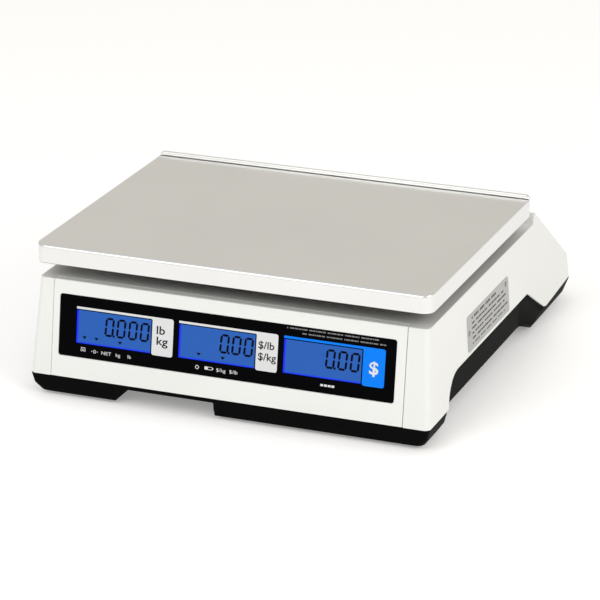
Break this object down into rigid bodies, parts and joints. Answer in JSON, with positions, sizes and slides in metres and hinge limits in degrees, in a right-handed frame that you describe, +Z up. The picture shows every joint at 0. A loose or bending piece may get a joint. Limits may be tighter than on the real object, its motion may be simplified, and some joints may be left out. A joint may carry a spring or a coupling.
{
  "type": "retail price scale",
  "caption": "Counter price computing scale: sheet platter on a single load cell, sloped front with display windows, rear key console, side hand grips.",
  "frame": {"origin": "on the surface it stands on, under the middle of its footprint", "axes": "+Z up, -Y towards the customer display, +X to the customer's right"},
  "size_m": [0.3544, 0.38, 0.1337],
  "materials": {
    "white_plastic": "fine moulded texture",
    "insert_plastic": "fine moulded texture",
    "black_plastic": "moulded texture",
    "gloss_black": "gloss printed sheet",
    "display_blue": "backlit liquid crystal glass",
    "panel_grey": "satin printed sheet",
    "key_grey": "satin",
    "silicone": "matt",
    "board_green": "solder mask",
    "battery_case": "moulded",
    "screw_steel": "zinc plated",
    "stainless": "fine brushed",
    "aluminium": "machined",
    "cast_aluminium": "cast",
    "rubber": "matt",
    "level_fluid": "clear",
    "label_silver": "satin foil",
    "cable_grey": "satin jacket"
  },
  "bodies": {
    "body": {"base": "black_plastic", "top_housing": "white_plastic", "housing_screws": "screw_steel", "customer_panel": "insert_plastic", "customer_overlay": "gloss_black", "weight_display": "display_blue", "unit_price_display": "display_blue", "total_price_display": "display_blue", "display_board": "board_green", "operator_panel": "panel_grey", "operator_overlay": "gloss_black", "operator_displays": "display_blue", "operator_board": "board_green", "keypad_mat": "silicone", "main_board": "board_green", "battery": "battery_case", "switch_housing": "gloss_black", "dc_jack": "gloss_black", "bubble_level": "level_fluid", "rating_plate": "label_silver", "load_cell": "aluminium", "load_cell_mount": "cast_aluminium", "load_cell_fixed_screws": "screw_steel", "overload_stops": "screw_steel", "load_cell_cable": "cable_grey"},
    "weighing_frame": {"platter_spider": "cast_aluminium", "live_end_spacer": "cast_aluminium", "load_cell_live_screws": "screw_steel", "platter_cushions": "rubber"},
    "platter": {"platter": "stainless"},
    "battery_door": {"battery_door": "black_plastic"},
    "power_rocker": {"power_rocker": "gloss_black"},
    "key_1": {"key_1": "key_grey"},
    "key_2": {"key_2": "key_grey"},
    "key_3": {"key_3": "key_grey"},
    "key_4": {"key_4": "key_grey"},
    "key_5": {"key_5": "key_grey"},
    "key_6": {"key_6": "key_grey"},
    "key_7": {"key_7": "key_grey"},
    "key_8": {"key_8": "key_grey"},
    "key_9": {"key_9": "key_grey"},
    "key_10": {"key_10": "key_grey"},
    "key_11": {"key_11": "key_grey"},
    "key_12": {"key_12": "key_grey"},
    "key_13": {"key_13": "key_grey"},
    "key_14": {"key_14": "key_grey"},
    "key_15": {"key_15": "key_grey"},
    "key_16": {"key_16": "key_grey"},
    "key_17": {"key_17": "key_grey"},
    "key_18": {"key_18": "key_grey"},
    "key_19": {"key_19": "key_grey"},
    "key_20": {"key_20": "key_grey"},
    "foot_pad_front_left": {"foot_pad_front_left": "rubber"},
    "foot_screw_front_left": {"foot_screw_front_left": "screw_steel"},
    "foot_pad_front_right": {"foot_pad_front_right": "rubber"},
    "foot_screw_front_right": {"foot_screw_front_right": "screw_steel"},
    "foot_pad_back_left": {"foot_pad_back_left": "rubber"},
    "foot_screw_back_left": {"foot_screw_back_left": "screw_steel"},
    "foot_pad_back_right": {"foot_pad_back_right": "rubber"},
    "foot_screw_back_right": {"foot_screw_back_right": "screw_steel"}
  },
  "joints": [
    {"name": "load_cell_flex", "type": "slide", "parent": "body", "child": "weighing_frame", "axis": [0, 0, 1], "range_m": [-0.0005, 0], "stiffness_N_per_m": 300000, "springref_m": 0.00006, "deforming": ["load_cell"]},
    {"name": "platter_lift", "type": "slide", "parent": "weighing_frame", "child": "platter", "axis": [0, 0, 1], "range_m": [0, 0.06]},
    {"name": "battery_door_hinge", "type": "hinge", "parent": "body", "child": "battery_door", "pos_m": [0.0945, -0.1366, 0.0163], "axis": [-1, 0, 0], "range_deg": [0, 100]},
    {"name": "power_rocker_tilt", "type": "hinge", "parent": "body", "child": "power_rocker", "pos_m": [-0.168, 0.022, 0.031], "axis": [0, 0, 1], "range_deg": [-16, 0]},
    {"name": "key_1_press", "type": "slide", "parent": "body", "child": "key_1", "axis": [0, -0.6101, -0.7923], "range_m": [0, 0.0012], "stiffness_N_per_m": 800},
    {"name": "key_2_press", "type": "slide", "parent": "body", "child": "key_2", "axis": [0, -0.6101, -0.7923], "range_m": [0, 0.0012], "stiffness_N_per_m": 800},
    {"name": "key_3_press", "type": "slide", "parent": "body", "child": "key_3", "axis": [0, -0.6101, -0.7923], "range_m": [0, 0.0012], "stiffness_N_per_m": 800},
    {"name": "key_4_press", "type": "slide", "parent": "body", "child": "key_4", "axis": [0, -0.6101, -0.7923], "range_m": [0, 0.0012], "stiffness_N_per_m": 800},
    {"name": "key_5_press", "type": "slide", "parent": "body", "child": "key_5", "axis": [0, -0.6101, -0.7923], "range_m": [0, 0.0012], "stiffness_N_per_m": 800},
    {"name": "key_6_press", "type": "slide", "parent": "body", "child": "key_6", "axis": [0, -0.6101, -0.7923], "range_m": [0, 0.0012], "stiffness_N_per_m": 800},
    {"name": "key_7_press", "type": "slide", "parent": "body", "child": "key_7", "axis": [0, -0.6101, -0.7923], "range_m": [0, 0.0012], "stiffness_N_per_m": 800},
    {"name": "key_8_press", "type": "slide", "parent": "body", "child": "key_8", "axis": [0, -0.6101, -0.7923], "range_m": [0, 0.0012], "stiffness_N_per_m": 800},
    {"name": "key_9_press", "type": "slide", "parent": "body", "child": "key_9", "axis": [0, -0.6101, -0.7923], "range_m": [0, 0.0012], "stiffness_N_per_m": 800},
    {"name": "key_10_press", "type": "slide", "parent": "body", "child": "key_10", "axis": [0, -0.6101, -0.7923], "range_m": [0, 0.0012], "stiffness_N_per_m": 800},
    {"name": "key_11_press", "type": "slide", "parent": "body", "child": "key_11", "axis": [0, -0.6101, -0.7923], "range_m": [0, 0.0012], "stiffness_N_per_m": 800},
    {"name": "key_12_press", "type": "slide", "parent": "body", "child": "key_12", "axis": [0, -0.6101, -0.7923], "range_m": [0, 0.0012], "stiffness_N_per_m": 800},
    {"name": "key_13_press", "type": "slide", "parent": "body", "child": "key_13", "axis": [0, -0.6101, -0.7923], "range_m": [0, 0.0012], "stiffness_N_per_m": 800},
    {"name": "key_14_press", "type": "slide", "parent": "body", "child": "key_14", "axis": [0, -0.6101, -0.7923], "range_m": [0, 0.0012], "stiffness_N_per_m": 800},
    {"name": "key_15_press", "type": "slide", "parent": "body", "child": "key_15", "axis": [0, -0.6101, -0.7923], "range_m": [0, 0.0012], "stiffness_N_per_m": 800},
    {"name": "key_16_press", "type": "slide", "parent": "body", "child": "key_16", "axis": [0, -0.6101, -0.7923], "range_m": [0, 0.0012], "stiffness_N_per_m": 800},
    {"name": "key_17_press", "type": "slide", "parent": "body", "child": "key_17", "axis": [0, -0.6101, -0.7923], "range_m": [0, 0.0012], "stiffness_N_per_m": 800},
    {"name": "key_18_press", "type": "slide", "parent": "body", "child": "key_18", "axis": [0, -0.6101, -0.7923], "range_m": [0, 0.0012], "stiffness_N_per_m": 800},
    {"name": "key_19_press", "type": "slide", "parent": "body", "child": "key_19", "axis": [0, -0.6101, -0.7923], "range_m": [0, 0.0012], "stiffness_N_per_m": 800},
    {"name": "key_20_press", "type": "slide", "parent": "body", "child": "key_20", "axis": [0, -0.6101, -0.7923], "range_m": [0, 0.0012], "stiffness_N_per_m": 800},
    {"name": "foot_front_left_height", "type": "slide", "parent": "body", "child": "foot_pad_front_left", "axis": [0, 0, -1], "range_m": [0, 0.006]},
    {"name": "foot_front_left_screw", "type": "hinge", "parent": "foot_pad_front_left", "child": "foot_screw_front_left", "pos_m": [-0.142, -0.168, 0.01], "axis": [0, 0, 1], "range_deg": [0, 2160]},
    {"name": "foot_front_right_height", "type": "slide", "parent": "body", "child": "foot_pad_front_right", "axis": [0, 0, -1], "range_m": [0, 0.006]},
    {"name": "foot_front_right_screw", "type": "hinge", "parent": "foot_pad_front_right", "child": "foot_screw_front_right", "pos_m": [0.148, -0.168, 0.01], "axis": [0, 0, 1], "range_deg": [0, 2160]},
    {"name": "foot_back_left_height", "type": "slide", "parent": "body", "child": "foot_pad_back_left", "axis": [0, 0, -1], "range_m": [0, 0.006]},
    {"name": "foot_back_left_screw", "type": "hinge", "parent": "foot_pad_back_left", "child": "foot_screw_back_left", "pos_m": [-0.148, 0.107, 0.01], "axis": [0, 0, 1], "range_deg": [0, 2160]},
    {"name": "foot_back_right_height", "type": "slide", "parent": "body", "child": "foot_pad_back_right", "axis": [0, 0, -1], "range_m": [0, 0.006]},
    {"name": "foot_back_right_screw", "type": "hinge", "parent": "foot_pad_back_right", "child": "foot_screw_back_right", "pos_m": [0.148, 0.107, 0.01], "axis": [0, 0, 1], "range_deg": [0, 2160]}
  ],
  "couplings": [
    {"joint": "foot_front_left_screw", "follows": "foot_front_left_height", "rad_per_m": 6283.2},
    {"joint": "foot_front_right_screw", "follows": "foot_front_right_height", "rad_per_m": 6283.2},
    {"joint": "foot_back_left_screw", "follows": "foot_back_left_height", "rad_per_m": 6283.2},
    {"joint": "foot_back_right_screw", "follows": "foot_back_right_height", "rad_per_m": 6283.2}
  ]
}
